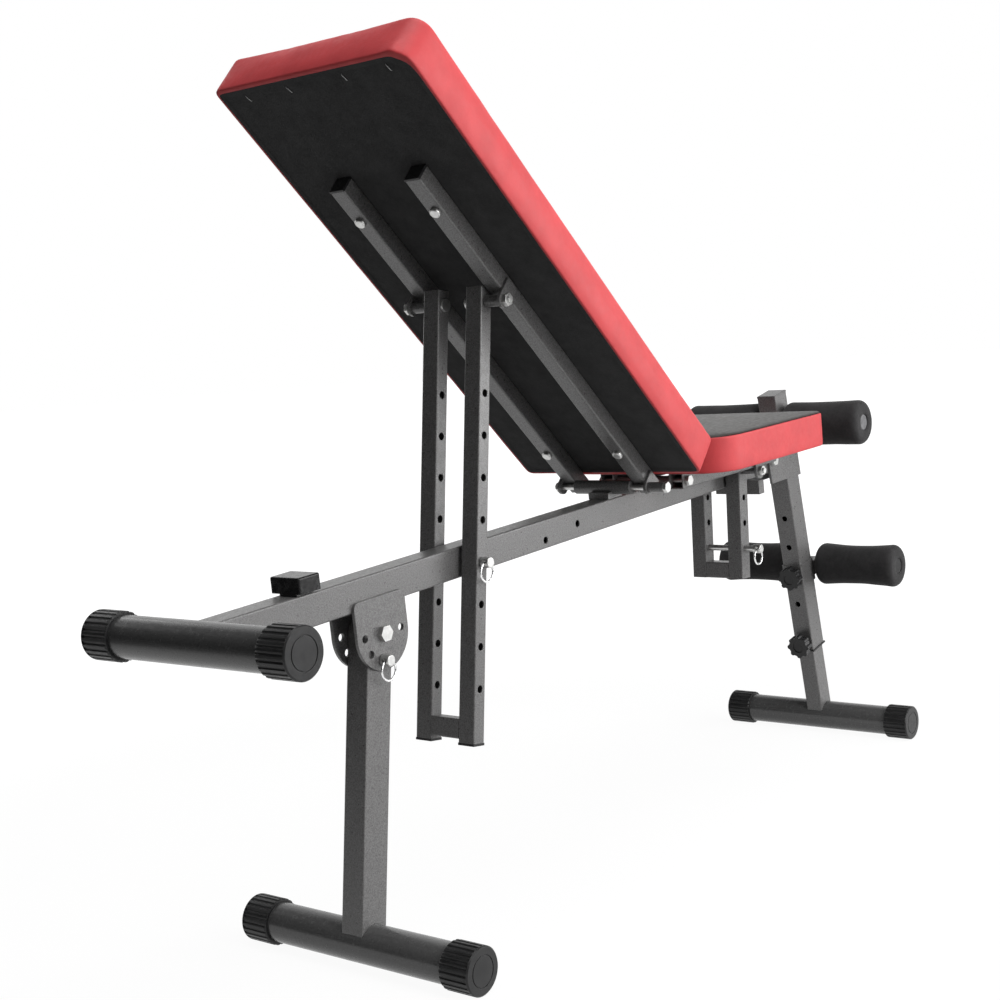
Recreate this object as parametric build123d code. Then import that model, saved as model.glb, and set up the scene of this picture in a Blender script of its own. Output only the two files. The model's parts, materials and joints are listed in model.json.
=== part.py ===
from build123d import *
import os
from math import atan2, cos, degrees, pi, radians, sin

# Adjustable weight bench, millimetres, +Z up. X runs from the rear cross tube to the leg
# rollers, the bench is mirrored about Y = 0, and the side with the lock pins is -Y.

# Stance
CAP_R = 27.0            # radius of the plastic foot sleeves, they rest on the floor
TUBE_R = 23.0           # round cross tubes
TUBE_WALL = 2.0
CAP_LEN = 40.0
FLUTES = 24             # grooves round a sleeve
FLUTE_R = 2.2
FLUTE_DEPTH = 1.4
CAP_END = 4.0
REAR_FOOT_LEN = 342.0
FRONT_FOOT_LEN = 328.0
TBAR_LEN = 302.0
TBAR_X = -203.0         # rear cross tube, measured from the rear foot
FRONT_FOOT_X = 1142.0
SHIFT_X = -((TBAR_X - CAP_R) + (FRONT_FOOT_X + CAP_R)) / 2
FIT = 0.25              # sliding clearance between tubes
RUN = 0.06              # running fit of a pin or bolt in its bore

# Main beam
BEAM_SLOPE = 3.29
BEAM_Z0 = 418.2         # beam axis above the rear foot
BEAM_W = 32.0
BEAM_H = 37.0
BEAM_WALL = 2.0
PLATE = 4.0             # thickness of side plates
BEAM_HOLES = ((369.5, -7.8), (442.4, 0.2))
HOLE_R = 4.6            # adjustment holes

# Stop for the flat backrest, in beam coordinates
STOP_X = -59.5
STOP_LEN = 33.0
STOP_W = 44.0
STOP_UP = 2.9           # lower edge of its cap above the beam
STOP_H = 20.8

# Rear leg and its bracket, in beam coordinates
BRACKET_X = 45.7
BRACKET_DROP = 49.5
BRACKET_R = 42.0
BRACKET_TOP = -7.0
LOCK_R = 30.0           # circle of lock holes round the leg pivot
LOCK_ANGLES = (180.0, 220.0, 0.0)
LEG_DEPTH = 40.0
LEG_W = BEAM_W - 2 * FIT
LEG_WALL = 2.0
BOLT_R = 5.0
BRACKET_BOLTS = ((980.0, 1.0),)
FRONT_PLATE_REAR = 57.0 # front bracket plates behind the upright
FRONT_PLATE_DROP = 36.0
PIN_R = 4.5

# Backrest
BACK_ANGLE = 42.0       # board above the horizontal
HINGE_X = 536.0
HINGE_UP = 14.4         # hinge axis above the top of the beam
HUB_R = 9.5
HUB_HALF = 45.0
PIVOT_R = 4.0
PIVOT_OFF = 26.0        # hinge axis below the board
RAIL = 22.0
RAIL_WALL = 1.5
RAIL_CAP = 3.0          # head of the plug in the upper end of a rail
RAIL_Y = 57.2
RAIL_END = 19.0         # rails run on past the hinge
RAIL_TO = 573.5
HINGE_REACH = 24.0      # hinge bolt runs on through a spacer on the -Y side
LUG = 4.0
LUG_R = 10.0
BACK_LEN = 727.0        # head end of the pad above the hinge
BACK_END = 4.0          # lower end of the pad past the hinge
BACK_HALF = 143.0
BACK_THICK = 62.0
BOARD = 12.0
BOARD_IN = 7.0
PAD_CORNER = 12.0
PAD_BOLTS = (69.0, 524.5)

# Backrest ladder
LADDER_AT = 385.0       # ladder axis along the backrest from the hinge
LADDER_OFF = 6.0        # and that far below the hinge line
LADDER_TILT = 7.76
POST_D = 20.0
POST_W = 24.0
POST_IN = 21.0          # inner face of the posts from the middle plane
POST_WALL = 1.5
LADDER_TOP = 18.0
LADDER_LEN = 522.5
LADDER_FIRST = 108.5    # first hole below the ladder axis
LADDER_PITCH = 50.0
LADDER_HOLES = 8
LADDER_PIN = 4          # hole in use, counted from 0
CROSS_H = 24.0

# Seat
SEAT_TILT = 2.5
SEAT_BOLT_X = 640.0
SEAT_BOLT_H = 25.0      # seat pivot above the beam axis
SEAT_DROP = 11.4        # seat pivot below the seat board
SEAT_FROM = -15.1
SEAT_TO = 286.9
SEAT_HALF = 139.0
SEAT_THICK = 55.0
SEAT_CORNER = 50.0      # rear corners, round next to the backrest
SEAT_LADDER_AT = 202.9
SEAT_LADDER_OFF = 16.0  # seat ladder axis below the seat pivot line
SEAT_POST_D = 25.0
SEAT_POST_IN = 19.0
SEAT_LADDER_TILT = 1.8
SEAT_LADDER_LEN = 162.6
SEAT_HOLE_FIRST = 40.6
SEAT_PITCH = 38.5
SEAT_PIN = 2
GUIDE_X = 905.0         # guide lugs under the beam

# Front upright, in its own coordinates from the front foot
UP_LEAN = 12.1
UP_D = 40.0
UP_W = BEAM_W
UP_WALL = 2.0
UP_FROM = 127.0
UPPER_AXLE = 512.5
UP_TO = UPPER_AXLE + 49.5
LOWER_AXLE = 257.9
LOWER_OUT = 42.0
UP_PITCH = 50.0
LEG_KNOB = 139.3
LEG_IN = 150.0          # overlap of the lower leg inside the upright
AXLE_R = 8.0
ROLLER_R = 35.0
ROLLER_WAIST = 31.5
UPPER_HALF = 153.0
LOWER_HALF = 158.0
ROLLER_GAP = 3.0
SLEEVE_LEN = 38.0
SLEEVE_WALL = 1.2
KNOB_R = 19.0
KNOB_LOBES = 8


def frame(x, z, lean):
    """Frame at (x, z) whose Z axis leans by the angle towards -X."""
    a = radians(lean)
    axes = Plane((x + SHIFT_X, 0, z), x_dir=(cos(a), 0, sin(a)), z_dir=(-sin(a), 0, cos(a)))
    return axes.location


def box(x0, x1, y0, y1, z0, z1):
    return Pos((x0 + x1) / 2, (y0 + y1) / 2, (z0 + z1) / 2) * Box(x1 - x0, y1 - y0, z1 - z0)


def ycyl(x, z, r, y0, y1):
    return Pos(x, (y0 + y1) / 2, z) * Rot(90, 0, 0) * Cylinder(r, y1 - y0)


def xcyl(y, z, r, x0, x1):
    return Pos((x0 + x1) / 2, y, z) * Rot(0, 90, 0) * Cylinder(r, x1 - x0)


def yhex(x, z, flats, y0, y1):
    base = RegularPolygon(flats / 2, 6, major_radius=False)
    return Pos(x, y1, z) * Rot(90, 0, 0) * extrude(base, y1 - y0)


def ypipe(x, z, r, bore, y0, y1):
    return ycyl(x, z, r, y0, y1) - ycyl(x, z, bore, y0 - 1, y1 + 1)


def mirrored(shape):
    return [shape, mirror(shape, Plane.XZ)]


def tube_z(depth, y0, y1, z0, z1, wall, x=0.0):
    """Rectangular tube along Z with open ends."""
    outer = box(x - depth / 2, x + depth / 2, y0, y1, z0, z1)
    inner = box(x - depth / 2 + wall, x + depth / 2 - wall, y0 + wall, y1 - wall, z0 - 1, z1 + 1)
    edges = outer.edges().filter_by(Axis.Z)
    return fillet(edges, 2.0) - inner


def tube_x(x0, x1, y0, y1, z0, z1, wall):
    """Rectangular tube along X with open ends."""
    outer = box(x0, x1, y0, y1, z0, z1)
    inner = box(x0 - 1, x1 + 1, y0 + wall, y1 - wall, z0 + wall, z1 - wall)
    edges = outer.edges().filter_by(Axis.X)
    return fillet(edges, 2.0) - inner


def plate_xz(points, y0, y1):
    """Flat plate in the XZ plane from a corner list."""
    face = make_face(Polyline(*[(p[0], p[1]) for p in points], close=True))
    return Pos(0, y1, 0) * Rot(90, 0, 0) * extrude(face, y1 - y0)


def hex_bolt(x, z, r, head_y, tip_y, flats):
    """Bolt along Y: hex head on the -Y side, nut at the far end."""
    head = 0.65 * 2 * r
    body = ycyl(x, z, r, head_y, tip_y + head + 3)
    bolt = body + yhex(x, z, flats, head_y - head, head_y)
    return bolt + yhex(x, z, flats, tip_y, tip_y + head)


def cross_sleeves(x, z, length, lean):
    """Fluted plastic sleeves on both ends of a round cross tube, with a land facing the floor."""
    half = length / 2
    inner = half - CAP_LEN
    outline = [(0, half), (CAP_R - 1.5, half), (CAP_R, half - 1.5), (CAP_R, inner + 1.5)]
    outline += [(CAP_R - 1.5, inner), (TUBE_R, inner), (TUBE_R, half - CAP_END), (0, half - CAP_END)]
    sleeve = revolve(make_face(Polyline(*outline, close=True)), Axis.Y)
    r = CAP_R + FLUTE_R - FLUTE_DEPTH
    for i in range(FLUTES):
        a = radians(270 - lean + (i + 0.5) * 360 / FLUTES)
        sleeve -= ycyl(r * cos(a), r * sin(a), FLUTE_R, inner - 1, half - 2)
    ring = Pos(0, half, 0) * Rot(90, 0, 0) * (Cylinder(18, 1.6) - Cylinder(16.6, 2))
    return [Pos(x, 0, z) * s for s in mirrored(sleeve - ring)]


def cross_tube(x, z, length):
    half = length / 2 - CAP_END
    return ypipe(x, z, TUBE_R, TUBE_R - TUBE_WALL, -half, half)


def lock_pin(x, z, head_y, tip_y):
    """Pin along Y with a drilled head outside the -Y side."""
    head = fillet(ycyl(x, z, 6.5, head_y - 13, head_y).edges(), 1.0)
    shank = ycyl(x, z, PIN_R, head_y, tip_y - 1)
    nose = Pos(x, tip_y - 0.5, z) * Rot(-90, 0, 0) * Cone(PIN_R, PIN_R - 1, 1)
    return head + shank + nose - xcyl(head_y - 7, z, 3.2, x - 10, x + 10)


def pin_ring(x, z, head_y):
    """Split ring hanging through the drilled head."""
    return Pos(x, head_y - 7, z - 11.5) * Rot(90, 0, 0) * Torus(11.5, 1.3)


def knob(turn_r, x0, boss):
    """Lobed hand knob whose screw runs towards +X, with its boss ending at x0."""
    lobes = Cylinder(turn_r - 3, 14)
    for i in range(KNOB_LOBES):
        a = 2 * pi * i / KNOB_LOBES
        lobes += Pos((turn_r - 4) * cos(a), (turn_r - 4) * sin(a), 0) * Cylinder(4, 14)
    lobes += Pos(0, 0, 7 + boss / 2) * Cone(turn_r - 5, 8, boss)
    lobes -= Pos(0, 0, -7) * Cylinder(9, 3)
    return Pos(x0 - 7 - boss, 0, 0) * Rot(0, 90, 0) * lobes


def outline(half_x, half_y, low, high):
    """Rectangle with one corner radius at its low X end and one at its high X end."""
    face = Rectangle(2 * half_x, 2 * half_y)
    face = fillet(face.vertices().group_by(Axis.X)[0], low)
    return fillet(face.vertices().group_by(Axis.X)[-1], high)


def cushion(x0, x1, half, thick, low, high, crown):
    """Upholstered block on its board: upright sides, drawn in at the board, crowned on top."""
    hx = (x1 - x0) / 2
    mid = (x0 + x1) / 2
    edge = thick - crown
    layers = ((0, 2.5), (6, 0), (edge - 8, 0), (edge - 2.5, 1.0), (edge, 3.5),
              (edge + 0.6 * crown, 24), (thick, 54))
    sections = []
    for z, inset in layers:
        corners = [max(r - inset, r / 3) for r in (low, high)]
        sections.append(Pos(mid, 0, z) * outline(hx - inset, half - inset, *corners))
    return loft(sections, ruled=True) - board(x0, x1, half, low, high)


def board(x0, x1, half, low, high):
    """Board let into the underside of a cushion."""
    face = outline((x1 - x0) / 2 - BOARD_IN, half - BOARD_IN, low - BOARD_IN, high - BOARD_IN)
    return Pos((x0 + x1) / 2, 0, 0) * extrude(face, BOARD)


def foam_roller(y0, y1, waist, end_r, bore):
    """Foam sleeve along Y, waisted in the middle and rounded at its ends."""
    mid = (y0 + y1) / 2
    r = 9.0
    q = r * (1 - cos(pi / 4))
    with BuildSketch() as profile:
        with BuildLine():
            Line((bore, y0), (end_r - r, y0))
            ThreePointArc((end_r - r, y0), (end_r - q, y0 + q), (end_r, y0 + r))
            ThreePointArc((end_r, y0 + r), (waist, mid), (end_r, y1 - r))
            ThreePointArc((end_r, y1 - r), (end_r - q, y1 - q), (end_r - r, y1))
            Line((end_r - r, y1), (bore, y1))
            Line((bore, y1), (bore, y0))
        make_face()
    return revolve(profile.sketch, Axis.Y)


BEAM = frame(0, BEAM_Z0, BEAM_SLOPE)
B = radians(BEAM_SLOPE)


def beam_point(xb, zb):
    """World X and Z, before the shift, of a point in beam coordinates."""
    return xb * cos(B) - zb * sin(B), BEAM_Z0 + xb * sin(B) + zb * cos(B)


TOP = BEAM_H / 2
SIDE = BEAM_W / 2
PLATE_Y = SIDE + PLATE
HINGE_Z = TOP + HINGE_UP
LEG_PIVOT = beam_point(BRACKET_X, -BRACKET_DROP)
LEG_LEAN = -degrees(atan2(LEG_PIVOT[0], LEG_PIVOT[1] - CAP_R))
LEG_SPAN = (LEG_PIVOT[1] - CAP_R) / cos(radians(LEG_LEAN))
REAR = frame(0, CAP_R, LEG_LEAN)
HINGE = beam_point(HINGE_X, HINGE_Z)
BACK = frame(HINGE[0], HINGE[1], -BACK_ANGLE)
K = radians(BACK_ANGLE)
LADDER_POINT = (HINGE[0] - LADDER_AT * cos(K) - LADDER_OFF * sin(K),
                HINGE[1] + LADDER_AT * sin(K) - LADDER_OFF * cos(K))
LADDER_DOWN = LADDER_FIRST + LADDER_PIN * LADDER_PITCH
LADDER_LOCK = (LADDER_POINT[0] - LADDER_DOWN * sin(radians(LADDER_TILT)),
               LADDER_POINT[1] - LADDER_DOWN * cos(radians(LADDER_TILT)))
LADDER = frame(LADDER_POINT[0], LADDER_POINT[1], -LADDER_TILT)
SEAT_POINT = beam_point(SEAT_BOLT_X, SEAT_BOLT_H)
SEAT = frame(SEAT_POINT[0], SEAT_POINT[1], SEAT_TILT)
Q = radians(SEAT_TILT)
SEAT_LADDER_POINT = (SEAT_POINT[0] + SEAT_LADDER_AT * cos(Q) + SEAT_LADDER_OFF * sin(Q),
                     SEAT_POINT[1] + SEAT_LADDER_AT * sin(Q) - SEAT_LADDER_OFF * cos(Q))
SEAT_LADDER = frame(SEAT_LADDER_POINT[0], SEAT_LADDER_POINT[1], -SEAT_LADDER_TILT)
FRONT = frame(FRONT_FOOT_X, CAP_R, UP_LEAN)
nodes = {}


def put(name, place, shapes):
    """Store a node, moved from its own frame into the world."""
    group = list(shapes) if isinstance(shapes, (list, tuple)) else [shapes]
    nodes[name] = [place * s for s in group]


def build_beam():
    end = 1075.0
    tube = tube_x(TBAR_X - 6, end, -SIDE, SIDE, -TOP, TOP, BEAM_WALL)
    dx, dz = LADDER_LOCK[0], LADDER_LOCK[1] - BEAM_Z0
    lock = (dx * cos(B) + dz * sin(B), dz * cos(B) - dx * sin(B))
    for x, z in BEAM_HOLES + (lock,):
        tube -= ycyl(x, z, HOLE_R, -SIDE - 1, SIDE + 1)
    for x, z in BRACKET_BOLTS:
        tube -= ycyl(x, z, BOLT_R, -SIDE - 1, SIDE + 1)
    tube -= ycyl(TBAR_X / cos(B), 0, TUBE_R, -SIDE - 1, SIDE + 1)
    world = BEAM * tube
    front = FRONT * box(-UP_D / 2, BEAM_Z0, -BEAM_W, BEAM_W, UP_FROM, 2 * UP_TO)
    rear = BEAM * box(2 * TBAR_X, TBAR_X / cos(B), -BEAM_W, BEAM_W, -BEAM_H, BEAM_H)
    nodes["main_beam"] = [(world - front - rear).solids().sort_by(SortBy.VOLUME)[-1]]
    x, z = TBAR_X / cos(B), 0
    put("rear_cross_tube", BEAM, cross_tube(x, z, TBAR_LEN))
    put("rear_cross_sleeves", BEAM, cross_sleeves(x, z, TBAR_LEN, BEAM_SLOPE))


def build_bracket():
    x, z = BRACKET_X, -BRACKET_DROP
    plate = box(x - BRACKET_R, x + BRACKET_R, SIDE, PLATE_Y, z, BRACKET_TOP)
    plate = fillet(plate.edges().filter_by(Axis.Y).group_by(Axis.Z)[-1], 8)
    plate += ycyl(x, z, BRACKET_R, SIDE, PLATE_Y)
    plate -= ycyl(x, z, BOLT_R, 0, 40)
    lean = 270 + LEG_LEAN - BEAM_SLOPE
    for a in LOCK_ANGLES:
        c = radians(a)
        plate -= ycyl(x + LOCK_R * cos(c), z + LOCK_R * sin(c), PIN_R + RUN, 0, 40)
    c = radians(lean)
    pin = (x + LOCK_R * cos(c), z + LOCK_R * sin(c))
    plate -= ycyl(pin[0], pin[1], PIN_R + RUN, 0, 40)
    put("rear_bracket_plates", BEAM, mirrored(plate))
    put("rear_pivot_bolt", BEAM, hex_bolt(x, z, BOLT_R, -PLATE_Y, PLATE_Y, 17))
    put("rear_lock_pin", BEAM, lock_pin(pin[0], pin[1], -PLATE_Y - 0.4, -SIDE - 0.2))
    put("rear_pin_ring", BEAM, pin_ring(pin[0], pin[1], -PLATE_Y - 0.4))


def build_rear_leg():
    half = LEG_W / 2
    r = LEG_DEPTH / 2
    leg = box(-r, r, -half, half, 0, LEG_SPAN) + ycyl(0, LEG_SPAN, r, -half, half)
    leg = fillet(leg.faces().filter_by(Axis.Y).edges(), 1.5)
    q, h = r - LEG_WALL, half - LEG_WALL
    leg -= box(-q, q, -h, h, -1, LEG_SPAN) + ycyl(0, LEG_SPAN, q, -h, h)
    leg -= ycyl(0, LEG_SPAN, BOLT_R + RUN, -60, 60)
    leg -= ycyl(0, LEG_SPAN - LOCK_R, PIN_R + 0.3, -60, 60)
    leg -= ycyl(0, 0, TUBE_R, -60, 60)
    put("rear_leg", REAR, leg.solids().sort_by(SortBy.VOLUME)[-1])
    put("rear_foot_tube", REAR, cross_tube(0, 0, REAR_FOOT_LEN))
    put("rear_foot_sleeves", REAR, cross_sleeves(0, 0, REAR_FOOT_LEN, LEG_LEAN))


def build_stop():
    x0, x1 = STOP_X - STOP_LEN / 2, STOP_X + STOP_LEN / 2
    half = STOP_W / 2
    post = box(x0 + 4, x1 - 4, -SIDE + 3, SIDE - 3, TOP, TOP + STOP_H - 7)
    shell = box(x0, x1, -half, half, TOP + STOP_UP, TOP + STOP_H)
    shell = fillet(shell.edges().filter_by(Axis.Z), 3)
    shell = fillet(shell.edges().group_by(Axis.Z)[-1], 2)
    put("stop_post", BEAM, post)
    put("stop_cap", BEAM, shell - post)


def build_hinge():
    x, z = HINGE_X, HINGE_Z
    saddle = box(x - 17, x + 17, -SIDE, SIDE, TOP, TOP + 9) - ycyl(x, z, HUB_R, -60, 60)
    hub = ypipe(x, z, HUB_R, PIVOT_R + RUN, -HUB_HALF, HUB_HALF)
    # the seat turns on a thinner hub of the same length, laid on the beam
    x, z, r = SEAT_BOLT_X, SEAT_BOLT_H, SEAT_BOLT_H - TOP
    rest = box(x - 14, x + 14, -SIDE, SIDE, TOP, TOP + 5) - ycyl(x, z, r, -60, 60)
    put("hinge_saddle", BEAM, [saddle.solids().sort_by(SortBy.VOLUME)[-1]] + list(rest.solids()))
    put("hinge_hub", BEAM, [hub, ypipe(x, z, r, PIVOT_R, -HUB_HALF, HUB_HALF)])
    out = RAIL_Y + RAIL / 2 + 0.4
    put("seat_pivot_bolt", BEAM, hex_bolt(x, z, PIVOT_R, -out, out, 13))


def build_backrest():
    up = PIVOT_OFF
    # local X runs down the board towards the seat, so the pad lies on negative X
    pad = cushion(-BACK_LEN, BACK_END, BACK_HALF, BACK_THICK, PAD_CORNER, PAD_CORNER, 6)
    put("backrest_pad", BACK, Pos(0, 0, up) * pad)
    plank = board(-BACK_LEN, BACK_END, BACK_HALF, PAD_CORNER, PAD_CORNER)
    z0, z1 = up - RAIL, up
    y0, y1 = RAIL_Y - RAIL / 2, RAIL_Y + RAIL / 2
    rail = tube_x(-RAIL_TO, RAIL_END, y0, y1, z0, z1, RAIL_WALL)
    bolts = []
    for x in PAD_BOLTS:
        for side in (-1, 1):
            y = side * RAIL_Y
            shank = Pos(-x, y, z0 + RAIL / 2 + 4) * Cylinder(3, RAIL + 8)
            head = Pos(-x, y, z0 - 2.2) * Cylinder(7, 4.4)
            head = fillet(head.edges().group_by(Axis.Z)[0], 2.5)
            bolts.append(shank + head)
        rail -= Pos(-x, RAIL_Y, z0 + RAIL / 2) * Cylinder(3, RAIL + 4)
        for side in (-1, 1):
            plank -= Pos(-x, side * RAIL_Y, 0) * Cylinder(3, 16)
    put("backrest_board", BACK, Pos(0, 0, up) * plank)
    put("backrest_rails", BACK, mirrored(rail))
    cap = box(-RAIL_TO - RAIL_CAP, -RAIL_TO, y0, y1, z0, z1)
    cap = fillet(cap.edges().group_by(Axis.X)[0], RAIL_CAP / 3)
    w = RAIL_WALL
    cap += box(-RAIL_TO, -RAIL_TO + 4 * RAIL_CAP, y0 + w, y1 - w, z0 + w, z1 - w)
    put("rail_plugs", BACK, mirrored(cap))
    put("backrest_pad_bolts", BACK, bolts)
    # lugs on the outer faces of the rails carry the hinge bolt and the two ladder bolts
    ly0 = RAIL_Y + RAIL / 2
    ly1 = ly0 + LUG
    x = -LADDER_AT
    lugs = []
    for px, pz in ((0, 0), (x, -LADDER_OFF)):
        lug = box(px - LUG_R, px + LUG_R, ly0, ly1, pz, z1 - 5) + ycyl(px, pz, LUG_R, ly0, ly1)
        lugs += mirrored(lug - ycyl(px, pz, PIVOT_R, 0, 200))
    z = -LADDER_OFF
    lugs += mirrored(ypipe(x, z, 7, PIVOT_R, POST_IN + POST_W + 0.4, ly0))
    lugs.append(ypipe(0, 0, 7, PIVOT_R, -ly1 - HINGE_REACH, -ly1))
    put("backrest_lugs", BACK, lugs)
    put("hinge_bolt", BACK, hex_bolt(0, 0, PIVOT_R, -ly1 - HINGE_REACH, ly1, 13))
    bolt = ycyl(x, z, PIVOT_R, POST_IN - 1, ly1 + 9) + yhex(x, z, 14, ly1, ly1 + 6.5)
    bolt += ycyl(x, z, 8, POST_IN - 4, POST_IN - 0.4)
    put("ladder_bolts", BACK, mirrored(bolt))


def build_ladder():
    y0, y1 = POST_IN, POST_IN + POST_W
    post = tube_z(POST_D, y0, y1, -LADDER_LEN, LADDER_TOP, POST_WALL)
    post -= ycyl(0, 0, PIVOT_R + RUN, 0, 100)
    for i in range(LADDER_HOLES):
        post -= ycyl(0, -LADDER_FIRST - i * LADDER_PITCH, HOLE_R, 0, 100)
    z = -LADDER_LEN
    cross = tube_y(-POST_D / 2, POST_D / 2, -y0, y0, z + 4, z + 4 + CROSS_H, POST_WALL)
    plug = box(-POST_D / 2, POST_D / 2, y0, y1, z - 3, z)
    plug += box(-POST_D / 2 + POST_WALL, POST_D / 2 - POST_WALL, y0 + POST_WALL, y1 - POST_WALL, z, z + 12)
    put("ladder_posts", LADDER, mirrored(post))
    put("ladder_cross_bar", LADDER, cross)
    put("ladder_plugs", LADDER, mirrored(plug))
    pz = -LADDER_DOWN
    put("ladder_lock_pin", LADDER, lock_pin(0, pz, -y1 - 0.4, -SIDE - 1.5))
    put("ladder_pin_ring", LADDER, pin_ring(0, pz, -y1 - 0.4))


def tube_y(x0, x1, y0, y1, z0, z1, wall):
    outer = box(x0, x1, y0, y1, z0, z1)
    inner = box(x0 + wall, x1 - wall, y0 - 1, y1 + 1, z0 + wall, z1 - wall)
    return fillet(outer.edges().filter_by(Axis.Y), 2.0) - inner


def build_seat():
    up = SEAT_DROP
    pad = cushion(SEAT_FROM, SEAT_TO, SEAT_HALF, SEAT_THICK, SEAT_CORNER, PAD_CORNER, 5)
    put("seat_pad", SEAT, Pos(0, 0, up) * pad)
    y0, y1 = RAIL_Y - RAIL / 2, RAIL_Y + RAIL / 2
    z0 = up - RAIL
    rail = tube_x(SEAT_FROM + 3, SEAT_TO - 24, y0, y1, z0, up, RAIL_WALL)
    rail -= ycyl(0, 0, PIVOT_R + RUN, 0, 200)
    plank = board(SEAT_FROM, SEAT_TO, SEAT_HALF, SEAT_CORNER, PAD_CORNER)
    put("seat_board", SEAT, Pos(0, 0, up) * plank)
    put("seat_rails", SEAT, mirrored(rail))
    put("seat_cross_plate", SEAT, box(24, 64, -y0, y0, up - 5, up))
    # lugs on the outer faces of the rails carry the two seat ladder bolts
    x, z = SEAT_LADDER_AT, -SEAT_LADDER_OFF
    f1 = y1 + LUG
    lug = box(x - 12, x + 12, y1, f1, z, up - 5) + ycyl(x, z, 12, y1, f1)
    lug -= ycyl(x, z, PIVOT_R, 0, 200)
    spacer = ypipe(x, z, z0 - z - 0.2, PIVOT_R, SEAT_POST_IN + POST_W + 0.4, y1)
    put("seat_lugs", SEAT, mirrored(lug) + mirrored(spacer))
    bolt = ycyl(x, z, PIVOT_R, SEAT_POST_IN - 1, f1 + 8) + yhex(x, z, 13, f1, f1 + 5.2)
    bolt += ycyl(x, z, 7, SEAT_POST_IN - 2.6, SEAT_POST_IN - 0.4)
    put("seat_ladder_bolts", SEAT, mirrored(bolt))


def build_seat_ladder():
    y0, y1 = SEAT_POST_IN, SEAT_POST_IN + POST_W
    post = tube_z(SEAT_POST_D, y0, y1, -SEAT_LADDER_LEN, 6, POST_WALL)
    post -= ycyl(0, 0, PIVOT_R + RUN, 0, 100)
    for i in range(3):
        post -= ycyl(0, -SEAT_HOLE_FIRST - i * SEAT_PITCH, PIN_R + RUN, 0, 100)
    z = -SEAT_LADDER_LEN
    cross = tube_y(-SEAT_POST_D / 2, SEAT_POST_D / 2, -y0, y0, z, z + CROSS_H, POST_WALL)
    put("seat_ladder_posts", SEAT_LADDER, mirrored(post))
    put("seat_ladder_bar", SEAT_LADDER, cross)
    pz = -SEAT_HOLE_FIRST - SEAT_PIN * SEAT_PITCH
    put("seat_lock_pin", SEAT_LADDER, lock_pin(0, pz, -y1 - 14, y1 + 4))
    put("seat_pin_ring", SEAT_LADDER, pin_ring(0, pz, -y1 - 14))


def build_front():
    half = UP_W / 2
    up = tube_z(UP_D, -half, half, UP_FROM, UP_TO, UP_WALL)
    up -= ycyl(0, UPPER_AXLE, AXLE_R, -60, 60)
    for i in (-1, 0, 1, 2):
        up -= xcyl(0, LOWER_AXLE + i * UP_PITCH, HOLE_R, -60, 0)
    up -= xcyl(0, LEG_KNOB, 4.0 + RUN, -60, 0)
    put("front_upright", FRONT, up)
    cap = box(-UP_D / 2, UP_D / 2, -half, half, UP_TO, UP_TO + 3)
    cap = fillet(cap.edges().group_by(Axis.Z)[-1], 1.5)
    cap += box(-UP_D / 2 + UP_WALL, UP_D / 2 - UP_WALL, -half + UP_WALL, half - UP_WALL, UP_TO - 14, UP_TO)
    put("upright_cap", FRONT, cap)
    ends = UPPER_HALF - 12
    put("upper_axle", FRONT, ypipe(0, UPPER_AXLE, AXLE_R, AXLE_R - 2, -ends, ends))


def build_rollers(label, x, z, half, start, waist, end_r):
    """Two foam rollers on a fixed axle, each closed by an end plug that turns with it."""
    tip = half - 10
    foam = foam_roller(start, half, waist, end_r, AXLE_R + 4)
    core = ypipe(0, 0, AXLE_R + 4, AXLE_R + RUN, start, tip)
    plug = ycyl(0, 0, AXLE_R + 4, tip, half - 1.5)
    plug = fillet(plug.edges().group_by(Axis.Y)[-1], 1.0)
    for side, way in (("near", -1), ("far", 1)):
        for name, shape in (("foam", foam), ("core", core + plug)):
            turned = shape if way > 0 else mirror(shape, Plane.XZ)
            put(label + "_" + name + "_" + side, FRONT, Pos(x, 0, z) * turned)


def build_carriage():
    half = UP_W / 2 + FIT
    d = UP_D / 2 + FIT
    w = SLEEVE_WALL
    z0, z1 = LOWER_AXLE - SLEEVE_LEN / 2, LOWER_AXLE + SLEEVE_LEN / 2
    sleeve = box(-d - w, d + w, -half - w, half + w, z0, z1) - box(-d, d, -half, half, z0 - 1, z1 + 1)
    sleeve = fillet(sleeve.edges().filter_by(Axis.Z).group_by(Axis.X)[0], 2)
    sleeve -= xcyl(0, LOWER_AXLE, 4.0 + RUN, -60, 0)
    yoke = box(d + w, LOWER_OUT, -half - w, half + w, LOWER_AXLE - 12, LOWER_AXLE + 12)
    yoke += ycyl(LOWER_OUT, LOWER_AXLE, 12, -half - w, half + w)
    yoke -= ycyl(LOWER_OUT, LOWER_AXLE, AXLE_R, -60, 60)
    put("roller_carriage", FRONT, sleeve + yoke)
    ends = LOWER_HALF - 12
    put("lower_axle", FRONT, ypipe(LOWER_OUT, LOWER_AXLE, AXLE_R, AXLE_R - 2, -ends, ends))
    back = -d - w
    head = Pos(0, 0, LOWER_AXLE) * knob(KNOB_R, back - 0.3, 2)
    screw = xcyl(0, LOWER_AXLE, 4.0, back - 6, -UP_D / 2 - 0.2)
    put("roller_knob", FRONT, head + screw)


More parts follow.
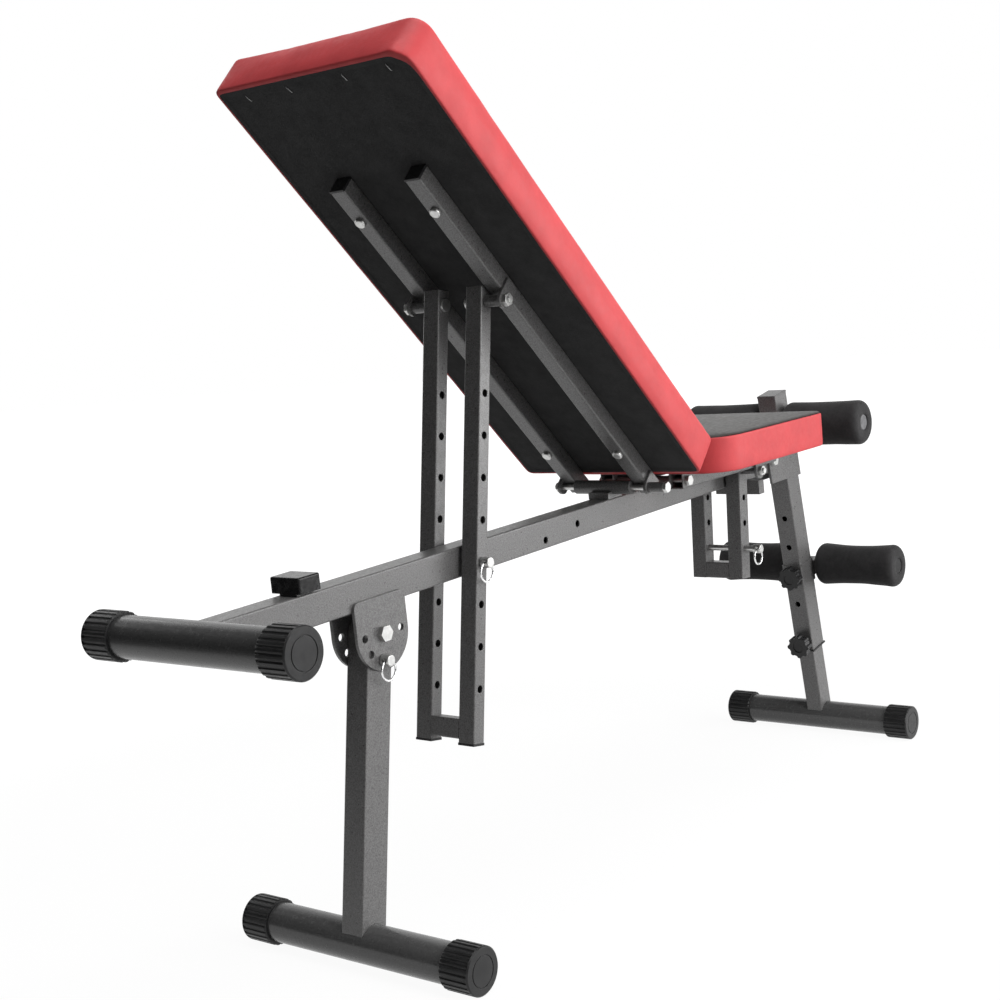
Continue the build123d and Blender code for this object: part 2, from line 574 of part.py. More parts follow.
def build_lower_leg():
    gap = UP_WALL + FIT
    d = UP_D - 2 * gap
    w = UP_W / 2 - gap
    leg = tube_z(d, -w, w, 0, UP_FROM + LEG_IN, 2.0)
    leg -= ycyl(0, 0, TUBE_R, -60, 60)
    for i in (-1, 0):
        leg -= xcyl(0, LOWER_AXLE + i * UP_PITCH, HOLE_R, -60, 0)
    put("lower_leg", FRONT, leg.solids().sort_by(SortBy.VOLUME)[-1])
    put("front_foot_tube", FRONT, cross_tube(0, 0, FRONT_FOOT_LEN))
    put("front_foot_sleeves", FRONT, cross_sleeves(0, 0, FRONT_FOOT_LEN, UP_LEAN))
    head = Pos(0, 0, LEG_KNOB) * knob(KNOB_R, -UP_D / 2 - 2, 6)
    screw = xcyl(0, LEG_KNOB, 4.0, -UP_D / 2 - 6, -UP_D / 2 + UP_WALL)
    put("leg_knob", FRONT, head + screw)


def build_front_bracket():
    reach = FRONT_FOOT_X
    plate = BEAM * box(0, reach, SIDE, PLATE_Y, -FRONT_PLATE_DROP, TOP - 4.5)
    plate &= FRONT * box(-UP_D / 2 - FRONT_PLATE_REAR, UP_D / 2, 0, reach, 0, reach)
    plate -= FRONT * ycyl(0, UPPER_AXLE, AXLE_R + FIT, 0, reach)
    bolts = []
    for x, z in BRACKET_BOLTS:
        plate -= BEAM * ycyl(x, z, BOLT_R, 0, reach)
        bolts.append(hex_bolt(x, z, BOLT_R, -PLATE_Y, PLATE_Y, 15))
    nodes["front_bracket_plates"] = mirrored(plate)
    put("beam_bolts", BEAM, bolts)
    lug = box(GUIDE_X - 8, GUIDE_X + 8, SIDE - 12, SIDE + 22, -TOP - 21, -TOP)
    put("guide_lugs", BEAM, mirrored(lug))
    stop = BEAM * box(GUIDE_X - 43, GUIDE_X - 17, -SIDE + 3, SIDE - 3, TOP, TOP + RAIL + 8)
    above = SEAT * box(0, SEAT_TO, -60, 60, SEAT_DROP - 0.2, SEAT_DROP + 60)
    nodes["seat_stop"] = [stop - above]


build_beam()
build_bracket()
build_rear_leg()
build_stop()
build_hinge()
build_backrest()
build_ladder()
build_seat()
build_seat_ladder()
build_front()
build_rollers("upper_roller", 0, UPPER_AXLE, UPPER_HALF, PLATE_Y + ROLLER_GAP, ROLLER_R - 0.8, ROLLER_R)
build_rollers("lower_roller", LOWER_OUT, LOWER_AXLE, LOWER_HALF, UP_W / 2 + 2 * ROLLER_GAP,
              ROLLER_WAIST, ROLLER_R - 0.5)
build_carriage()
build_lower_leg()
build_front_bracket()

os.makedirs("parts", exist_ok=True)
for name, group in nodes.items():
    solids = [s for shape in group for s in shape.solids()]
    shape = solids[0] if len(solids) == 1 else Compound(children=solids)
    export_step(shape, "parts/" + name + ".step")
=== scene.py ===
import json
import math

import bpy
from mathutils import Matrix, Vector, noise


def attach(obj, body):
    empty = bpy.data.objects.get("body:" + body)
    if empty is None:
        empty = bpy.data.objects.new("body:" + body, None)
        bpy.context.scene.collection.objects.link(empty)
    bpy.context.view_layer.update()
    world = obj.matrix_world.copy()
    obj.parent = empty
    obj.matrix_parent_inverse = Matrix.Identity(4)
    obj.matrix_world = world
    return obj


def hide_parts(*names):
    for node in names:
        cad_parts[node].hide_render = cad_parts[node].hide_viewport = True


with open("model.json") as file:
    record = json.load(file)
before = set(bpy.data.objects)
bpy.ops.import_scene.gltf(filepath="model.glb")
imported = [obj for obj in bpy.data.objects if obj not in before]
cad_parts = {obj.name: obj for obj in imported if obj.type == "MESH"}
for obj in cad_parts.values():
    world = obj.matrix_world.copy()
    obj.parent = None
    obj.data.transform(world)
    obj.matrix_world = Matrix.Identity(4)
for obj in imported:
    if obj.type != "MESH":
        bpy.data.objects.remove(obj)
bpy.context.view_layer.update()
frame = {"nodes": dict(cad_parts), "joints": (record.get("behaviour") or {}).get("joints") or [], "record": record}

NODES = frame["nodes"]
RECORD = frame["record"]
JOINT = {j["name"]: j for j in frame["joints"]}
SLOT = {s["node"]: s["material_slot"] for s in RECORD["subparts"]}
MM = 0.001
scene = bpy.context.scene


# Places of the pads and of the upright's end, from the joints and the same sizes as the solids

BACK_LEAN = -42.0
BACK_RISE = 26.0        # underside of the board above its hinge
SEAT_LEAN = 2.5
SEAT_RISE = 11.4
UPRIGHT_LEAN = 12.1
UPRIGHT_DROP = 12.3     # lower end of the upright below its knob


def leaning(joint, lean, rise):
    """Frame at a joint, leaning about Y and moved along its own Z."""
    a = math.radians(lean)
    x = Vector((math.cos(a), 0, math.sin(a)))
    z = Vector((-math.sin(a), 0, math.cos(a)))
    o = Vector(JOINT[joint]["pos_m"]) + z * rise * MM
    return Matrix(((x.x, 0, z.x, o.x), (0, 1, 0, 0), (x.z, 0, z.z, o.z), (0, 0, 0, 1)))


BACK = leaning("backrest_tilt", BACK_LEAN, BACK_RISE)
SEAT = leaning("seat_tilt", SEAT_LEAN, SEAT_RISE)
UPRIGHT_END = leaning("leg_knob_turn", UPRIGHT_LEAN, -UPRIGHT_DROP)


# Node helpers

class Nodes:
    """A node tree with a short way to add a node, set it up and link it."""

    def __init__(self, tree):
        self.tree = tree

    def add(self, kind, inputs=None, **settings):
        """A new node; each input is given a value or linked to another node's output."""
        node = self.tree.nodes.new("ShaderNode" + kind)
        for key, value in settings.items():
            setattr(node, key, value)
        for key, value in (inputs or {}).items():
            if isinstance(value, bpy.types.NodeSocket):
                self.tree.links.new(value, node.inputs[key])
            else:
                node.inputs[key].default_value = value
        return node

    def combine(self, operation, a, b):
        return self.add("Math", {0: a, 1: b}, operation=operation).outputs[0]

    def span(self, value, start, end, low, high, interpolation="LINEAR"):
        """The value's way from start to end, drawn onto low to high."""
        inputs = {"Value": value, "From Min": start, "From Max": end, "To Min": low, "To Max": high}
        return self.add("MapRange", inputs, interpolation_type=interpolation).outputs["Result"]


class Paint(Nodes):
    """A node material with a Principled shader and short ways to add texture nodes."""

    def __init__(self, name, colour, rough, metal=0.0, spec=0.5):
        self.mat = bpy.data.materials.new(name)
        self.mat.use_nodes = True
        super().__init__(self.mat.node_tree)
        self.bsdf = next(n for n in self.tree.nodes if n.type == "BSDF_PRINCIPLED")
        self.set("Base Color", (*colour, 1))
        self.set("Roughness", rough)
        self.set("Metallic", metal)
        self.set("Specular IOR Level", spec)
        self.coord = self.add("TexCoord").outputs["Object"]

    def set(self, socket, value):
        self.bsdf.inputs[socket].default_value = value

    def stretched(self, scale):
        return self.add("Mapping", {"Scale": scale, "Vector": self.coord}).outputs["Vector"]

    def noise(self, scale, detail=3.0, rough=0.55, vector=None):
        inputs = {"Scale": scale, "Detail": detail, "Roughness": rough, "Vector": vector or self.coord}
        return self.add("TexNoise", inputs).outputs["Fac"]

    def cells(self, scale, feature="F1"):
        inputs = {"Scale": scale, "Vector": self.coord}
        return self.add("TexVoronoi", inputs, feature=feature).outputs["Distance"]

    def ramp(self, fac, low, high, start=0.35, end=0.65):
        node = self.add("ValToRGB", {"Fac": fac})
        for stop, place, colour in zip(node.color_ramp.elements, (start, end), (low, high)):
            stop.position = place
            stop.color = (*colour, 1)
        return node.outputs["Color"]

    def spread(self, fac, low, high):
        """Noise, which keeps to the middle of its range, drawn onto low to high."""
        return self.span(fac, 0.3, 0.7, low, high)

    def rounded(self, radius):
        return self.add("Bevel", {"Radius": radius}, samples=4).outputs["Normal"]

    def bump(self, height, strength, distance, normal=None):
        inputs = {"Strength": strength, "Distance": distance, "Height": height}
        if normal is not None:
            inputs["Normal"] = normal
        return self.add("Bump", inputs).outputs["Normal"]

    def finish(self, colour, rough, normal):
        for value, socket in ((colour, "Base Color"), (rough, "Roughness"), (normal, "Normal")):
            self.tree.links.new(value, self.bsdf.inputs[socket])
        return self.mat


# Finishes

def scaled(colour, share):
    return tuple(c * share for c in colour)


def hammertone():
    """Textured grey paint: fine light and dark flecks over small dimples."""
    p = Paint("hammertone_grey", (0.105, 0.103, 0.103), 0.36, spec=0.72)
    fleck = p.noise(620, 2, 0.7)
    colour = p.ramp(fleck, (0.058, 0.056, 0.056), (0.165, 0.163, 0.162), 0.32, 0.68)
    normal = p.bump(p.noise(480, 3, 0.6), 0.25, 0.0008, p.rounded(0.0011))
    return p.finish(colour, p.spread(p.noise(210, 2), 0.27, 0.42), normal)


def tube_paint(name, shade):
    """Smoother, darker paint of the round tubes."""
    grey = (shade, shade, shade)
    p = Paint(name, grey, 0.26)
    colour = p.ramp(p.noise(420, 3), scaled(grey, 0.9), scaled(grey, 1.1))
    normal = p.bump(p.noise(520, 2), 0.03, 0.0003)
    return p.finish(colour, p.spread(p.noise(160, 2), 0.2, 0.29), normal)


def moulded(name, colour, rough, grain=900.0):
    """Plastic or rubber with a fine grain and soft edges."""
    p = Paint(name, colour, rough, spec=0.32)
    edge = p.rounded(0.0008)
    normal = p.bump(p.noise(grain, 2), 0.12, 0.0003, edge)
    tint = p.ramp(p.noise(60, 3), scaled(colour, 0.8), scaled(colour, 1.25))
    return p.finish(tint, p.spread(p.noise(240, 2), rough - 0.07, rough + 0.09), normal)


def plated(name, colour, rough):
    """Plated metal with faint brush marks."""
    p = Paint(name, colour, rough, 1.0)
    brushed = p.noise(700, 2, 0.5, p.stretched((1, 0.15, 1)))
    tint = p.ramp(p.noise(180, 4), scaled(colour, 0.86), colour)
    normal = p.bump(brushed, 0.08, 0.0002, p.rounded(0.0006))
    return p.finish(tint, p.spread(p.noise(300, 2), rough - 0.06, rough + 0.1), normal)


def vinyl(name, colour, rough):
    """Coated cloth with a pebbled grain over soft, uneven filling."""
    p = Paint(name, colour, rough, spec=0.2)
    p.set("Coat Weight", 0.02)
    p.set("Coat Roughness", 0.28)
    tint = p.ramp(p.noise(26, 4), scaled(colour, 0.88), scaled(colour, 1.08), 0.25, 0.75)
    pebble = p.bump(p.cells(420.0, "SMOOTH_F1"), 0.16, 0.0005)
    soft = p.bump(p.noise(34, 2), 0.16, 0.003, pebble)
    return p.finish(tint, p.spread(p.noise(150, 3), rough - 0.06, rough + 0.08), soft)


def dust_cloth():
    """Black nonwoven cover: pressed fibres with a fine dot emboss."""
    p = Paint("black_nonwoven", (0.019, 0.019, 0.0195), 0.92, spec=0.25)
    p.set("Sheen Weight", 0.15)
    p.set("Sheen Roughness", 0.5)
    fibre = p.noise(1300, 3, 0.7, p.stretched((1, 0.35, 1)))
    tint = p.ramp(p.noise(40, 4), (0.025, 0.025, 0.0255), (0.04, 0.04, 0.0405))
    dots = p.bump(p.cells(520), 0.25, 0.0004)
    return p.finish(tint, p.spread(p.noise(220, 3), 0.85, 0.98), p.bump(fibre, 0.25, 0.0003, dots))


def foam():
    """Black foam skin with open pores over a slightly uneven surface."""
    p = Paint("black_foam", (0.02, 0.0195, 0.02), 0.86, spec=0.3)
    p.set("Sheen Weight", 0.12)
    p.set("Sheen Roughness", 0.45)
    tint = p.ramp(p.noise(55, 5), (0.015, 0.0145, 0.015), (0.027, 0.026, 0.027), 0.3, 0.7)
    pores = p.bump(p.cells(750), 0.35, 0.0005)
    uneven = p.bump(p.noise(120, 4), 0.2, 0.001, pores)
    return p.finish(tint, p.spread(p.noise(300, 3), 0.78, 0.95), uneven)


FINISH = {
    "grey_paint": hammertone(),
    "tube_paint": tube_paint("tube_grey", 0.095),
    "black_plastic": moulded("black_plastic", (0.017, 0.017, 0.0175), 0.36),
    "roller_plug": moulded("grey_plug", (0.13, 0.13, 0.135), 0.45),
    "black_rubber": moulded("black_rubber", (0.01, 0.01, 0.0105), 0.22, 300.0),
    "zinc": plated("zinc_plate", (0.6, 0.6, 0.59), 0.36),
    "ring_steel": plated("bright_wire", (0.9, 0.9, 0.9), 0.2),
    "board_cloth": dust_cloth(),
}
RED = vinyl("coral_vinyl", (0.575, 0.066, 0.072), 0.46)
DARK = vinyl("dark_vinyl", (0.052, 0.05, 0.047), 0.42)
# Dark maroon cover for a thin ring along the seam: painted shade in the seam's fold
SEAM_SHADE = vinyl("seam_painted_shade", (0.03, 0.011, 0.011), 0.55)
FOAM = foam()
# The rear cross tube gets a darker copy of the tube paint: painted shade, not a different paint
SHADED_CROSS_TUBE = tube_paint("cross_tube_painted_shade", 0.058)
for name, node in NODES.items():
    finish = SHADED_CROSS_TUBE if name == "rear_cross_tube" else FINISH.get(SLOT[name])
    if finish is not None:
        node.data.materials.clear()
        node.data.materials.append(finish)


def added(name, data, place):
    """A new object in the scene, at a place."""
    obj = bpy.data.objects.new(name, data)
    scene.collection.objects.link(obj)
    obj.matrix_world = place
    return obj


# Pads

GRID = 10.0                     # spacing of the grid lines across a top
BY_SEAM = (0.0, 2.0, 5.0, 9.0, 14.0)
SEAM_BAND = 20.0                # the grid is even inside this distance from the seam
SEAM_STEP = 1.5                 # inset of the top's edge from the last ring of the side
SIDE_FROM = 12.0                # the side is upright from here to the rim
UNDER_BOARD = 2.0               # a ring with a larger inset lies under the board
CLOTH_FROM = 5.0                # a strip with a larger inset shows the board's cloth
LIP_RADIUS = 30.0               # corner of the cover under the board, where it is gathered
LIP_TURN = 2.5                  # the cover under the board is drawn in at the head end
SOFT_RIM = 6.0                  # a larger rim is turned further, up to its seam
PUFF = 2.2 * MM                 # most that the filling pushes the cover out
RED_SLOT, DARK_SLOT, SEAM_SHADE_SLOT, CLOTH_SLOT = range(4)


def on_corner(x, y, hx, hy, r):
    """A point of the rectangle's outline, drawn onto its rounded corner."""
    cx = max(r - hx, min(hx - r, x))
    cy = max(r - hy, min(hy - r, y))
    dx, dy = x - cx, y - cy
    d = math.hypot(dx, dy)
    if d < 1e-9:
        return x, y
    return cx + dx * r / d, cy + dy * r / d


def stations(half):
    """Grid lines across a top, close together next to the seam."""
    inner = half - SEAM_BAND
    count = max(2, round(2 * inner / GRID))
    middle = [-inner + 2 * inner * i / count for i in range(count + 1)]
    return [-half + e for e in BY_SEAM] + middle + [half - e for e in reversed(BY_SEAM)]


def side_rings(edge, rim):
    """Height and inset of each ring of a side, from under the board up to the seam."""
    rings = [(-0.4, 10.0), (-0.8, 3.0), (-0.8, 1.8), (-0.1, 0.7), (1.4, 0.2), (6, 0.0), (SIDE_FROM, 0.0)]
    rings += [(SIDE_FROM + (edge - rim - SIDE_FROM) * k / 4, 0.0) for k in range(1, 5)]
    for turn in (18, 36, 54, 68) if rim > SOFT_RIM else (10, 20, 30):
        a = math.radians(turn)
        rings.append((edge - rim * (1 - math.sin(a)), rim * (1 - math.cos(a))))
    return rings


def bell(s, centre, width):
    return math.exp(-((s - centre) / width) ** 2)


def pad(name, place, span, half, thick, crown, corners, rim, body, node, gathered=0):
    """Upholstered pad: upright sides in one cover, a crowned top in another, filled out by cloth.

    corners are the radii at low X far and near and at high X far and near, and gathered is
    the radius of the corner where the cover is gathered under the board.
    """
    mid, hx = (span[0] + span[1]) / 2, (span[1] - span[0]) / 2
    edge = thick - crown

    def radius(x, y, inset, under):
        r = corners[(2 if x > 0 else 0) + (1 if y < 0 else 0)]
        return max(r - inset, r / 4, LIP_RADIUS if under and r == gathered else 0)

    def fold(x, y, z):
        """How far the cover stands out or in, where it is gathered round its corner."""
        if not gathered or x > 0 or y > 0:
            return 0.0
        s = (half + y) - (hx + x)
        depth = 1.8 * bell(s, 19, 6) + 0.8 * bell(s, -14, 6) - 0.5 * bell(s, 8, 4)
        return depth * bell(z, 3, 8)

    rings = side_rings(edge, rim)
    seam_in, seam_z = rings[-1][1] + SEAM_STEP, edge - 0.02 * rim
    sx, sy = hx - seam_in, half - seam_in
    xs, ys = stations(sx), stations(sy)
    nx, ny = len(xs), len(ys)
    verts, faces, slots = [], [], []
    for y in ys:
        for x in xs:
            e = min(sx - abs(x), sy - abs(y))
            px, py = on_corner(x, y, sx - e, sy - e, radius(x, y, seam_in + e, False))
            rise = 1.1 * (1 - math.exp(-e / 3.0)) + crown * (1 - math.exp(-e / 40.0))
            verts.append((px + mid, py, seam_z + rise))
    for j in range(ny - 1):
        for i in range(nx - 1):
            a = j * nx + i
            faces.append((a, a + 1, a + nx + 1, a + nx))
            slots.append(DARK_SLOT)
    loop = [i for i in range(nx)] + [j * nx + nx - 1 for j in range(1, ny)]
    loop += [(ny - 1) * nx + i for i in range(nx - 2, -1, -1)] + [j * nx for j in range(ny - 2, 0, -1)]
    share = [(xs[k % nx] / sx, ys[k // nx] / sy) for k in loop]
    last, pinned = loop, []
    for z, inset in reversed(rings):
        start = len(verts)
        under = inset > UNDER_BOARD and z < 0
        turn_in = LIP_TURN if gathered and under else 0.0
        reach = hx - inset - turn_in / 2
        for u, v in share:
            x, y = u * reach, v * (half - inset)
            px, py = on_corner(x, y, reach, half - inset, radius(x, y, inset, under))
            out = 1 + fold(x, y, z) / max(1.0, math.hypot(px, py))
            verts.append((px * out + mid + turn_in / 2, py * out, z))
        ring = list(range(start, len(verts)))
        for k in range(len(ring)):
            m = (k + 1) % len(ring)
            faces.append((last[m], last[k], ring[k], ring[m]))
            # The ring of faces next to the seam takes the seam's painted shade
            slots.append(SEAM_SHADE_SLOT if last is loop else CLOTH_SLOT if inset > CLOTH_FROM else RED_SLOT)
        if last is loop:
            seam = loop + ring
        last = ring
        if z < 3:
            pinned += ring
    mesh = bpy.data.meshes.new(name)
    mesh.from_pydata([(x * MM, y * MM, z * MM) for x, y, z in verts], [], faces)
    for cover in (RED, DARK, SEAM_SHADE, FINISH["board_cloth"]):
        mesh.materials.append(cover)
    for face, slot in zip(mesh.polygons, slots):
        face.material_index = slot
        face.use_smooth = True
    obj = added(name, mesh, place)
    inflate(obj, pinned, seam)
    sew(mesh, loop)
    sub = obj.modifiers.new("Smooth", "SUBSURF")
    sub.levels = 1
    sub.render_levels = 1
    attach(obj, body)
    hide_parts(node)


def inflate(obj, pinned, seam):
    """Cloth with pressure, held at the board and half held at the seam, then written into the mesh."""
    last_frame = 20
    group = obj.vertex_groups.new(name="hold")
    group.add(pinned, 1.0, "REPLACE")
    group.add(seam, 0.5, "REPLACE")
    mod = obj.modifiers.new("Cloth", "CLOTH")
    s = mod.settings
    s.quality = 6
    s.mass = 0.4
    s.tension_stiffness = 40
    s.compression_stiffness = 40
    s.shear_stiffness = 20
    s.bending_stiffness = 2.0
    s.use_pressure = True
    s.uniform_pressure_force = 4.0
    s.vertex_group_mass = "hold"
    s.effector_weights.gravity = 0.0
    mod.collision_settings.use_collision = False
    mod.collision_settings.use_self_collision = False
    mod.point_cache.frame_start = 1
    mod.point_cache.frame_end = last_frame
    for f in range(1, last_frame + 1):
        scene.frame_set(f)
    blown = obj.evaluated_get(bpy.context.evaluated_depsgraph_get()).data
    moved = [v.co.copy() for v in blown.vertices]
    obj.modifiers.remove(mod)
    scene.frame_set(1)
    for v, co in zip(obj.data.vertices, moved):
        d = co - v.co
        if d.length > PUFF:
            d *= PUFF / d.length
        v.co += d
    obj.vertex_groups.clear()


def sew(mesh, seam):
    """Sink the seam, and let the cover lie a little uneven along the sides and the corners."""
    sunk = 0.7
    mesh.update()
    normals = [v.normal.copy() for v in mesh.vertices]
    at_seam = set(seam)
    for v in mesh.vertices:
        amount = 0.3 * noise.noise(v.co * 22.0) + 0.12 * noise.noise(v.co * 75.0)
        if v.index in at_seam:
            amount -= sunk
        v.co += normals[v.index] * amount * MM
    mesh.update()


pad("backrest_cushion", BACK, (-727, 4), 143, 62, 6, (9, 24, 10, 10), 8.5, "backrest", "backrest_pad", 24)
pad("seat_cushion", SEAT, (-15.1, 286.9), 139, 55, 5, (50, 50, 9, 9), 5.0, "seat", "seat_pad")


# Staples of the dust cover along the head end

STAPLE_X = -712.0
STAPLE_LEN = 9.0
STAPLE_PIVOT = 4.0      # the slant turns about this point of a staple
STAPLE_WIRE = 0.45 * MM
STAPLES = ((101, -0.35), (37, -0.35), (-46, -0.2), (-109, -0.2))    # place across, and slant


def staples():
    curve = bpy.data.curves.new("backrest_staples", "CURVE")
    curve.dimensions = "3D"
    curve.bevel_depth = STAPLE_WIRE
    curve.bevel_resolution = 2
    legs = ((0, 3), (0, -0.2), (0.7, -0.9))
    shape = legs + tuple((STAPLE_LEN - x, z) for x, z in reversed(legs))
    for y, slant in STAPLES:
        spline = curve.splines.new("POLY")
        spline.points.add(len(shape) - 1)
        for p, (x, z) in zip(spline.points, shape):
            p.co = ((STAPLE_X + x) * MM, (y + slant * (x - STAPLE_PIVOT)) * MM, z * MM, 1)
    obj = added("backrest_staples", curve, BACK)
    curve.materials.append(plated("dull_wire", (0.3, 0.3, 0.3), 0.4))
    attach(obj, "backrest")


staples()


# Plastic bush at the lower end of the upright, where the lower leg slides out

UPRIGHT = (40.0, 32.0)
UPRIGHT_WALL = 2.0
BUSH_LIP = 1.6
BUSH_HEIGHT = 2.4


def leg_bush():
    """Thin ring around the lower leg, a little wider than the upright."""
    verts = []
    for grow in (2 * BUSH_LIP, -2 * UPRIGHT_WALL):
        w, d = ((side + grow) / 2 for side in UPRIGHT)
        for z in (-BUSH_HEIGHT, 0.0):
            verts += [(x * MM, y * MM, z * MM) for x, y in ((-w, -d), (w, -d), (w, d), (-w, d))]
    faces = []
    for a, b in ((0, 4), (4, 12), (12, 8), (8, 0)):
        faces += [(a + k, a + (k + 1) % 4, b + (k + 1) % 4, b + k) for k in range(4)]
    mesh = bpy.data.meshes.new("upright_leg_bush")
    mesh.from_pydata(verts, [], faces)
    mesh.materials.append(FINISH["black_plastic"])
    mesh.update()
    obj = added("upright_leg_bush", mesh, UPRIGHT_END)
    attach(obj, "frame")


leg_bush()


# Foam rollers

FOAM_BORE = 12.05
FOAM_ROUND = 10.0       # radius of the soft ends
BORE_ROUND = (2.0, 2.5)
FOAM_GIVE = 0.35        # unevenness of the skin
FOAM_SINK = 0.3         # keeps the uneven skin inside the solid
AROUND = 56


def foam_profile(y0, y1, waist, end_r):
    """Distance along the axle and radius, from the inner end's bore to the outer end's."""
    r = FOAM_ROUND
    mid, length = (y0 + y1) / 2, y1 - y0
    flat_r = (FOAM_BORE + end_r - r) / 2 + 1
    inset, grow = BORE_ROUND
    turns = [math.pi / 2 * k / 6 for k in range(7)]
    steps = 16
    rings = [(y0 + inset, FOAM_BORE), (y0, FOAM_BORE + grow), (y0, flat_r)]
    rings += [(y0 + r - r * math.cos(a), end_r - r + r * math.sin(a)) for a in turns]
    for k in range(1, steps):
        y = y0 + r + (length - 2 * r) * k / steps
        t = (y - mid) / (length / 2 - r)
        rings.append((y, waist + (end_r - waist) * t * t))
    rings += [(y1 - r + r * math.cos(a), end_r - r + r * math.sin(a)) for a in reversed(turns)]
    return rings + [(y1, flat_r), (y1, FOAM_BORE + grow), (y1 - inset, FOAM_BORE)]


def roller(level, end, y0, y1, waist, end_r, seed):
    """Foam tube, waisted, with soft rounded ends and slightly uneven skin."""
    side = 1 if end == "far" else -1
    profile = foam_profile(y0, y1, waist, end_r)
    verts, faces = [], []
    for y, r in profile:
        for k in range(AROUND):
            a = 2 * math.pi * k / AROUND
            p = Vector((r * math.cos(a), y, r * math.sin(a)))
            n = noise.noise((p + Vector((seed * 70.0, 0, 0))) * 0.045)
            skin = r
            if r > FOAM_BORE + 0.1:
                skin += (FOAM_GIVE * n if r > FOAM_BORE + 3 else 0.0) - FOAM_SINK
            verts.append((skin * math.cos(a) * MM, side * y * MM, skin * math.sin(a) * MM))
    rows = len(profile)
    for i in range(rows):
        for k in range(AROUND):
            j, m = (i + 1) % rows, (k + 1) % AROUND
            quad = (i * AROUND + k, i * AROUND + m, j * AROUND + m, j * AROUND + k)
            faces.append(quad if side > 0 else tuple(reversed(quad)))
    name = f"{level}_foam_{end}"
    mesh = bpy.data.meshes.new(name)
    mesh.from_pydata(verts, [], faces)
    mesh.materials.append(FOAM)
    for face in mesh.polygons:
        face.use_smooth = True
    mesh.update()
    axle = Vector(JOINT[f"{level}_{end}_spin"]["pos_m"])
    obj = added(name, mesh, Matrix.Translation(axle))
    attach(obj, f"{level}_{end}")
    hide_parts(f"{level}_roller_foam_{end}")


ROLLERS = {"upper": (23, 153, 34.2, 35), "lower": (22, 158, 31.5, 34.5)}
PLACES = [(level, end) for level in ROLLERS for end in ("near", "far")]
for seed, (level, end) in enumerate(PLACES, 1):
    roller(level, end, *ROLLERS[level], seed)


# Stage: a white floor that keeps a soft shadow, in a white room

WHITE = (1, 1, 1, 1)
FLOOR_SIZE = 60.0
FLOOR_GAP = 0.0005
FLOOR_GREY = (0.34, 0.34, 0.34, 1)
FLOOR_GLOW = 1.18
ROOM_LIGHT = 0.035
BRIGHT_WALL = (0.787, 0.617, 0)     # the room's white side, as reflections see it


def floor_finish():
    """Matte floor with a glow for the camera, full in the distance, and for reflections, full nearby."""
    mat = bpy.data.materials.new("studio_floor")
    mat.use_nodes = True
    mat.node_tree.nodes.clear()
    n = Nodes(mat.node_tree)
    ray = n.add("LightPath").outputs
    place = n.add("TexCoord").outputs["Object"]
    away = n.add("VectorMath", {0: place}, operation="LENGTH").outputs["Value"]
    near = n.span(away, 1.0, 2.4, 1.0, 0.1, "SMOOTHSTEP")
    far = n.span(away, 0.9, 2.6, 0.8, 1.0, "SMOOTHSTEP")
    glossy = n.combine("MULTIPLY", ray["Is Glossy Ray"], near)
    direct = n.combine("MAXIMUM", ray["Is Camera Ray"], ray["Is Transmission Ray"])
    seen = n.combine("MAXIMUM", direct, glossy)
    matte = n.add("BsdfDiffuse", {"Color": FLOOR_GREY}).outputs[0]
    glow = n.add("Emission", {"Color": WHITE, "Strength": FLOOR_GLOW}).outputs[0]
    mix = n.add("MixShader", {"Fac": n.combine("MULTIPLY", seen, far), 1: matte, 2: glow})
    n.add("OutputMaterial", {"Surface": mix.outputs[0]})
    return mat


def floor():
    mesh = bpy.data.meshes.new("floor")
    s = FLOOR_SIZE / 2
    mesh.from_pydata([(-s, -s, 0), (s, -s, 0), (s, s, 0), (-s, s, 0)], [], [(0, 1, 2, 3)])
    obj = added("floor", mesh, Matrix.Translation((0, 0, -FLOOR_GAP)))
    mesh.materials.append(floor_finish())


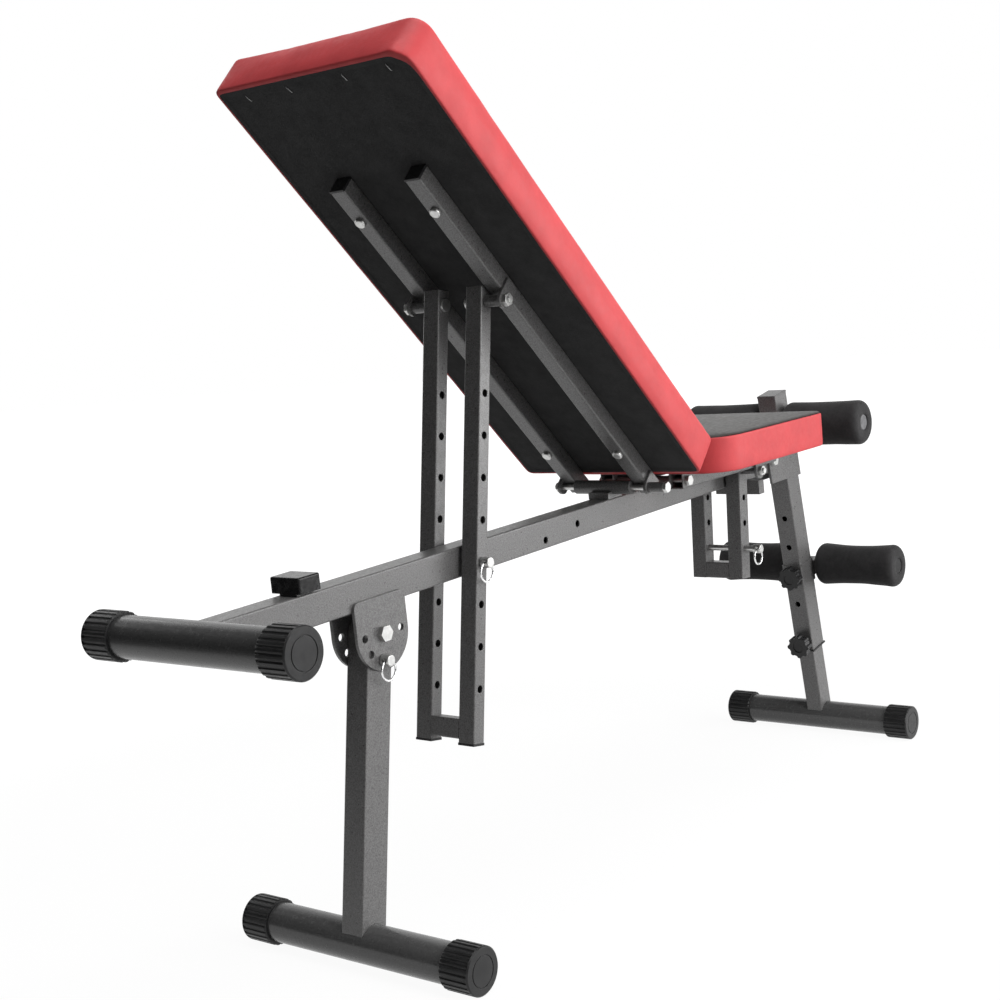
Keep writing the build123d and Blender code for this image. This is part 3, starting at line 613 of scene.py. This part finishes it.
def room():
    """White to the camera, faint as a light, and white on one side to reflections."""
    world = bpy.data.worlds.new("studio")
    scene.world = world
    world.use_nodes = True
    world.node_tree.nodes.clear()
    n = Nodes(world.node_tree)
    ray = n.add("LightPath").outputs
    way = n.add("TexCoord").outputs["Generated"]
    facing = n.add("VectorMath", {0: way, 1: BRIGHT_WALL}, operation="DOT_PRODUCT").outputs["Value"]
    wall = n.span(facing, 0.45, 0.85, 0.0, 1.0, "SMOOTHSTEP")
    direct = n.combine("MAXIMUM", ray["Is Camera Ray"], ray["Is Transmission Ray"])
    seen = n.combine("MAXIMUM", direct, n.combine("MULTIPLY", wall, ray["Is Glossy Ray"]))
    light = n.add("Background", {"Color": WHITE, "Strength": ROOM_LIGHT}).outputs[0]
    white = n.add("Background", {"Color": WHITE, "Strength": 1.0}).outputs[0]
    mix = n.add("MixShader", {"Fac": seen, 1: light, 2: white})
    n.add("OutputWorld", {"Surface": mix.outputs[0]})


floor()
room()


# Lamps, each aimed at the middle of the bench

def lamp(name, location, aim_z, size, power):
    data = bpy.data.lights.new(name, "AREA")
    data.shape = "RECTANGLE"
    data.size, data.size_y = size
    data.energy = power
    obj = bpy.data.objects.new(name, data)
    obj.location = location
    aim = Vector((0.0, 0.0, aim_z)) - Vector(location)
    obj.rotation_mode = "QUATERNION"
    obj.rotation_quaternion = aim.to_track_quat("-Z", "Y")
    scene.collection.objects.link(obj)


lamp("key", (-0.2, -3.3, 1.4), 0.5, (2.2, 2.2), 84)
lamp("sheen", (2.3, -2.6, 1.1), 0.5, (2.4, 2.0), 76)
lamp("far_fill", (-0.2, 3.4, 1.5), 0.5, (2.4, 2.2), 30)
lamp("top", (-0.25, -0.6, 3.4), 0.4, (2.4, 2.4), 68)


# Camera, solved from the photograph

CAMERA_PLACE = (-1.678631, -1.184859, 0.675899)
CAMERA_LENS = 55.726
CAMERA_YAW = 38.12078
CAMERA_PITCH = -5.49288
CAMERA_ROLL = -3.84200


def photo_camera():
    data = bpy.data.cameras.new("camera")
    data.sensor_width = 36.0
    data.lens = CAMERA_LENS
    data.clip_start = 0.05
    data.clip_end = 200
    yaw, pitch, roll = (math.radians(v) for v in (CAMERA_YAW, CAMERA_PITCH, CAMERA_ROLL))
    look = Vector((math.cos(pitch) * math.cos(yaw), math.cos(pitch) * math.sin(yaw), math.sin(pitch)))
    level_right = Vector((math.sin(yaw), -math.cos(yaw), 0))
    above = level_right.cross(look)
    right = level_right * math.cos(roll) + above * math.sin(roll)
    up = above * math.cos(roll) - level_right * math.sin(roll)
    turn = Matrix((right, up, -look)).transposed().to_4x4()
    scene.camera = added("camera", data, Matrix.Translation(CAMERA_PLACE) @ turn)


photo_camera()
scene.view_settings.view_transform = "Standard"
